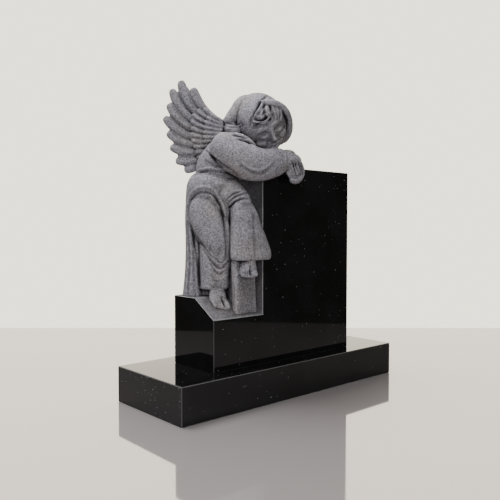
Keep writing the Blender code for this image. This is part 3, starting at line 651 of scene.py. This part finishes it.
def chisel(points, normals, path, half_width, depth, side_from):
    """How far each point moves out along its normal for one line, which fades to its ends.

    A line with two numbers a point is drawn on the figure's right side, and fades where the stone turns away.
    """
    line = smooth_path(path, LINE_STEPS * len(path))
    moves = np.zeros(len(points))
    reach = LINE_REACH * half_width
    low, high = line.min(axis=0) - reach, line.max(axis=0) + reach
    spots = points if line.shape[1] == 3 else points[:, [0, 2]]
    near = np.flatnonzero(((spots > low) & (spots < high)).all(axis=1) & (points[:, 1] > side_from))
    spots = spots[near]
    nearest = np.full(len(spots), 1e9)
    share = np.zeros(len(spots))
    for k in range(len(line) - 1):
        start, run = line[k], line[k + 1] - line[k]
        t = np.clip(((spots - start) @ run) / max(run @ run, 1e-9), 0, 1)
        gap = np.linalg.norm(spots - (start + t[:, None] * run), axis=1)
        share = np.where(gap < nearest, (k + t) / (len(line) - 1), share)
        nearest = np.minimum(nearest, gap)
    facing = 1 if line.shape[1] == 3 else np.clip((normals[near, 1] - FADE_FROM) / FADE_SPAN, 0, 1)
    taper = np.sin(np.clip(share, LINE_ENDS, 1 - LINE_ENDS) * math.pi) ** 0.5
    moves[near] = depth * np.exp(-((nearest / half_width) ** 2)) * facing * taper
    return moves


def add_piece(name, mesh, *materials):
    piece = bpy.data.objects.new(name, mesh)
    scene.collection.objects.link(piece)
    for material in materials:
        mesh.materials.append(material)
    return piece


def bake_modifiers(piece):
    bpy.context.view_layer.update()
    mesh = bpy.data.meshes.new_from_object(piece.evaluated_get(bpy.context.evaluated_depsgraph_get()))
    piece.modifiers.clear()
    piece.data = mesh


def read_rows(mesh, name):
    rows = np.empty(len(mesh.vertices) * 3, np.float32)
    mesh.vertices.foreach_get(name, rows)
    return rows.reshape(-1, 3).astype(float)


# The places of the four finishes in the piece's list of materials
POLISHED, CARVED, ARRIS, CUT = range(4)


def carved_figure(*materials):
    """The figure fused to one skin, chiselled, thinned and set on the ledge."""
    stone = carve_angel()
    mesh = bpy.data.meshes.new("figure")
    stone.to_mesh(mesh)
    stone.free()
    figure = add_piece("figure", mesh, *materials)
    fuse = figure.modifiers.new("Fuse", "REMESH")
    fuse.mode = "VOXEL"
    fuse.voxel_size = CARVING_GRAIN / unit
    soften = figure.modifiers.new("Soften", "SMOOTH")
    soften.factor = 0.5
    soften.iterations = 3
    bake_modifiers(figure)
    mesh = figure.data
    points, normals = read_rows(mesh, "co"), read_rows(mesh, "normal")
    moves = sum(chisel(points, normals, *line) for line in CHISEL)
    from_left = np.array([1, -1, 1])
    moves += sum(chisel(points * from_left, normals * from_left, *line) for line in FAR_CHISEL)
    to_head = np.linalg.inv(HEAD[:3])
    head_points = (points - HEAD[3]) @ to_head
    head_normals = unit_rows(normals @ to_head)
    on_the_head = np.linalg.norm(head_points, axis=1) < HEAD_REACH
    moves += sum(chisel(head_points, head_normals, *line) for line in HEAD_CHISEL) * on_the_head
    points += normals * moves[:, None]
    mesh.vertices.foreach_set("co", points.astype(np.float32).ravel())
    set_down = Matrix((ahead * unit, side * unit, (0, 0, unit))).transposed().to_4x4()
    set_down.translation = foot_point
    mesh.transform(set_down)
    mesh.flip_normals()
    mesh.polygons.foreach_set("material_index", [CARVED] * len(mesh.polygons))
    mesh.update()
    thin = figure.modifiers.new("Thin", "DECIMATE")
    thin.ratio = CARVING_TRIANGLES / (2 * len(mesh.polygons))
    bake_modifiers(figure)
    return figure


NEARLY = 0.001
SHARP_TURN = 0.2
FLAT_TURN = 0.01
FRONT_OR_BACK = 0.9


def stepped_block(*materials):
    """The block without its figure: the low part's side view pushed to the reveal, and both to the right."""
    block = bmesh.new()
    low_view = ((tablet_front, tablet_foot), (tablet_front, ledge_top - SLOPE_DROP),
                (tablet_front + SLOPE_RUN, ledge_top), (tablet_back, ledge_top), (tablet_back, tablet_foot))
    end = block.faces.new([block.verts.new((tablet_left, y, z)) for y, z in low_view])
    pushed = bmesh.ops.extrude_face_region(block, geom=[end])["geom"]
    foot = [item for item in pushed if isinstance(item, bmesh.types.BMVert)]
    bmesh.ops.translate(block, vec=(LOW_LENGTH, 0, 0), verts=foot)
    step = [item for item in pushed if isinstance(item, bmesh.types.BMFace)]
    rim = sorted((v for v in foot if v.co.z > ledge_top - SLOPE_DROP - NEARLY), key=lambda v: v.co.y)
    above = [block.verts.new((reveal, y, tablet_top)) for y in (tablet_back, tablet_front)]
    cut_face = block.faces.new(rim + above)
    pushed = bmesh.ops.extrude_face_region(block, geom=[*step, cut_face], use_keep_orig=True)["geom"]
    far = [item for item in pushed if isinstance(item, bmesh.types.BMVert)]
    bmesh.ops.translate(block, vec=(TABLET_LENGTH - LOW_LENGTH, 0, 0), verts=far)
    bmesh.ops.delete(block, geom=step, context="FACES_ONLY")
    bmesh.ops.dissolve_limit(block, angle_limit=FLAT_TURN, verts=block.verts, edges=block.edges)
    bmesh.ops.recalc_face_normals(block, faces=block.faces)
    for face in block.faces:
        middle = face.calc_center_median()
        on_step = middle.x < reveal + NEARLY and middle.z > ledge_top - SLOPE_DROP
        face.material_index = CUT if on_step and abs(face.normal.y) < FRONT_OR_BACK else POLISHED
    outer = [edge for edge in block.edges if edge.calc_face_angle_signed() > SHARP_TURN]
    eased = bmesh.ops.bevel(block, geom=outer, offset=BLOCK_ARRIS, segments=1, profile=0.5, affect="EDGES",
                            material=-1)
    for face in eased["faces"]:
        beside = [other for edge in face.edges for other in edge.link_faces if other not in eased["faces"]]
        face.material_index = ARRIS if CUT in {other.material_index for other in beside} else POLISHED
    mesh = bpy.data.meshes.new("block")
    block.to_mesh(mesh)
    block.free()
    return add_piece("angel_headstone", mesh, *materials)


# Each kind of hollow: how often the skin is smoothed to find it, and the depth that counts as full
HOLLOWS = (("fine_hollow", 4, 0.0006), ("broad_hollow", 36, 0.004))


def mark_hollows(mesh):
    """Keeps on each point how deep it lies in a crevice, fine and broad, for painted shade and highlight."""
    count = len(mesh.vertices)
    points, normals = read_rows(mesh, "co"), read_rows(mesh, "normal")
    edges = np.empty(len(mesh.edges) * 2, np.int32)
    mesh.edges.foreach_get("vertices", edges)
    start, end = edges.reshape(-1, 2).T
    ties = np.bincount(start, minlength=count) + np.bincount(end, minlength=count)
    smooth = points.copy()
    for name, passes, depth in HOLLOWS:
        for _ in range(passes):
            pulled = [np.bincount(start, smooth[end, k], count) + np.bincount(end, smooth[start, k], count)
                      for k in range(3)]
            smooth = np.stack(pulled, axis=1) / ties[:, None]
        sunk = np.clip(((smooth - points) * normals).sum(axis=1) / depth, -1, 1)
        mesh.attributes.new(name, "FLOAT", "POINT").data.foreach_set("value", sunk.astype(np.float32))


# The middle of the face, where the painted shade in the hollows is kept lighter
FACE_OUT = 105
FACE_DOWN = 28
ahead_by, side_by, up_by = HEAD[3] + look * FACE_OUT - crown_way * FACE_DOWN
FACE_PLACE = tuple(foot_point + (ahead * ahead_by + side * side_by) * unit + Vector((0, 0, up_by * unit)))

CARVED_GREY = (0.181, 0.179, 0.202)
CARVED_PAINTED_SHADE = (0.018, 0.018, 0.020)
CUT_GREY = (0.130, 0.128, 0.142)
CUT_PAINTED_SHADE = (0.030, 0.030, 0.033)
# The cut faces get half the painted shade and painted highlight of the figure
CUT_PAINTED_LIGHT = 0.5
ARRIS_DARK = (0.22, 0.22, 0.225)
ARRIS_HIGHLIGHT_PALE = (0.38, 0.38, 0.385)
RAGGED_SCALE = 450.0
RAGGED_REACH = 0.005
CARVED_GRAIN_SCALE = 400.0
BLOTCH_SCALE = 160.0
WEATHER_SCALE = 14.0
TINT_SCALE = 9.0
WARM_TINT = (1.06, 1.0, 0.89)
PAINTED_HIGHLIGHT_GAIN = (1.8, 1.8, 1.8)
FACE_PAINTED_SHADE = 0.3
CHISEL_BUMP = 0.0004


def scaled(colour, *shares):
    return tuple(part * share for part, share in zip(colour, shares * 3))


def carved_granite(name, colour, painted_shade_colour, wear_and_painted_light=1.0):
    """Granite left from the chisel: pale and dark grains, painted shade in hollows and painted highlight on
    ridges.
    """
    finish = Finish(bpy.data.materials.new(name), Roughness=0.82, Specular_IOR_Level=0.35)
    fine, broad = (finish.node("ShaderNodeAttribute", {"attribute_name": hollow[0]}, {}, "Fac")
                   for hollow in HOLLOWS)
    jitter = finish.noise(RAGGED_SCALE, 3.0, output="Color")
    ragged = finish.vector("MULTIPLY_ADD", jitter, (RAGGED_REACH,) * 3, finish.place)
    grains = finish.grains(CARVED_GRAIN_SCALE, "Color", ragged)
    light, warm = finish.channel(grains, "Red"), finish.channel(grains, "Green")
    blotch = finish.noise(BLOTCH_SCALE, 3.0, 0.65)
    cloud = finish.noise(WEATHER_SCALE, 4.0).over(0.35, 0.65)
    shade = finish.mix(cloud, scaled(colour, 0.88), colour)
    # Pale and dark blotches, then pale and dark grains: where each starts and is full, how strong, how bright
    patches = ((blotch, 0.42, 0.68, 0.6, 1.45), (1 - blotch, 0.48, 0.70, 0.6, 0.5),
               (light, 0.68, 0.95, 0.55, 2.1), (1 - light, 0.70, 0.95, 0.65, 0.3))
    for mask, start, full, strength, brightness in patches:
        shade = finish.mix(mask.over(start, full) * strength, shade, scaled(colour, brightness))
    shade = finish.mix(warm.over(0.55, 0.9) * 0.35, shade, scaled(colour, 1.2, 0.97, 0.88))
    tint = finish.noise(TINT_SCALE).over(0.45, 0.7)
    shade = finish.mix(tint * 0.6, shade, WARM_TINT, "MULTIPLY")
    off_face = finish.vector("DISTANCE", finish.place, FACE_PLACE, output="Value").over(0.03, 0.055)
    painted_shade_share = FACE_PAINTED_SHADE + off_face * (1 - FACE_PAINTED_SHADE)
    # Painted shade: the hollows, fine and broad, are darkened toward the shade colour
    dark = (fine.over(0.25, 1.3) * 0.3 + broad.over(0.06, 0.88) * 0.68) * wear_and_painted_light * painted_shade_share
    shade = finish.mix(dark.over(0.0, 1.0), shade, painted_shade_colour)
    # Painted highlight: what stands out of the carving is made brighter
    painted_highlight = ((0 - broad).over(0.02, 0.5) * 0.5 + (0 - fine).over(0.1, 0.8) * 0.3) * wear_and_painted_light
    finish.set(Base_Color=finish.mix(painted_highlight, shade, PAINTED_HIGHLIGHT_GAIN, "MULTIPLY"))
    finish.bump(light * 0.6 + finish.noise(900.0), CHISEL_BUMP, 0.4)
    return finish.owner


def arris_granite(name):
    """The narrow unpolished edge between a cut face and a polished one, painted pale for the light it
    catches.
    """
    finish = Finish(bpy.data.materials.new(name), Roughness=0.45)
    finish.set(Base_Color=finish.mix(finish.noise(300.0).over(0.4, 0.7), ARRIS_DARK, ARRIS_HIGHLIGHT_PALE))
    return finish.owner


finishes = (
    polished_granite("polished_block"),
    carved_granite("carved_stone", CARVED_GREY, CARVED_PAINTED_SHADE),
    arris_granite("arris_granite"),
    carved_granite("cut_stone", CUT_GREY, CUT_PAINTED_SHADE, CUT_PAINTED_LIGHT),
)
headstone = stepped_block(*finishes)
figure = carved_figure(*finishes)
figure.data.shade_smooth()
join = headstone.modifiers.new("Join", "BOOLEAN")
join.operation = "UNION"
join.solver = "MANIFOLD"
join.object = figure
bake_modifiers(headstone)
bpy.data.objects.remove(figure)
mark_hollows(headstone.data)
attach(headstone, "root")
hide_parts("headstone")


# Floor
# A plain pale board with a soft sheen, laid square to the camera.
# It reaches about a metre past the middle of the stone, to the front and to the back.
FLOOR_WIDTH = 2.7
FLOOR_REACH = 1.06
FLOOR_COLOUR = (0.62, 0.575, 0.575)

floor = bmesh.new()
bmesh.ops.create_grid(floor, x_segments=1, y_segments=1, size=1)
bmesh.ops.scale(floor, vec=(FLOOR_WIDTH / 2, FLOOR_REACH, 1), verts=floor.verts)
bmesh.ops.rotate(floor, cent=(0, 0, 0), matrix=Matrix.Rotation(CAMERA_TURN, 3, "Z"), verts=floor.verts)
floor_mesh = bpy.data.meshes.new("floor")
floor.to_mesh(floor_mesh)
floor.free()
sheen = Finish(bpy.data.materials.new("pale_floor"), Roughness=0.05, Specular_IOR_Level=1.0, Metallic=0.45)
sheen.set(Base_Color=FLOOR_COLOUR)
studio_floor = add_piece("studio_floor", floor_mesh, sheen.owner)


# Light
# A bright backdrop stands behind the stone, as the camera sees it, and the rest of the room is dim. Three
# round lamps, which don't show in the polish, hang over the camera, high behind the stone and low behind
# the camera.
BACKDROP_WAY = (0.666, 0.746, 0)
BACKDROP_EDGE = (0.35, 0.85)
BACKDROP_COLOUR = (1.0, 0.925, 0.76)
BACKDROP_LIGHT = 2.6
ROOM_LIGHT = 0.05


def soft_lamp(name, place, target, width, power):
    lamp = bpy.data.lights.new(name, "AREA")
    lamp.shape = "DISK"
    lamp.size = width
    lamp.energy = power
    holder = bpy.data.objects.new(name, lamp)
    holder.location = place
    holder.rotation_euler = (Vector(target) - Vector(place)).to_track_quat("-Z", "Y").to_euler()
    holder.visible_glossy = False
    scene.collection.objects.link(holder)


soft_lamp("key", place=(-1.3, -1.1, 2.9), target=(-0.15, 0, 0.55), width=1.0, power=35)
soft_lamp("top", place=(-0.6, 0.6, 2.6), target=(-0.1, 0, 0.5), width=1.4, power=62)
soft_lamp("fill", place=(-1.7, -2.1, 0.9), target=(-0.15, 0, 0.5), width=1.6, power=29)

# The camera itself sees the backdrop all over; the stones see it only on its own side
room = Finish(bpy.data.worlds.new("studio"), "Background", "Generated", Color=BACKDROP_COLOUR)
toward = room.vector("DOT_PRODUCT", room.place, BACKDROP_WAY, output="Value")
spread = ROOM_LIGHT + toward.over(*BACKDROP_EDGE) * (BACKDROP_LIGHT - ROOM_LIGHT)
seen = room.node("ShaderNodeLightPath", {}, {}, "Is Camera Ray")
room.set(Strength=room.node("ShaderNodeMix", {},
                            {"Factor": seen, "A": spread, "B": BACKDROP_LIGHT}, "Result"))
scene.world = room.owner
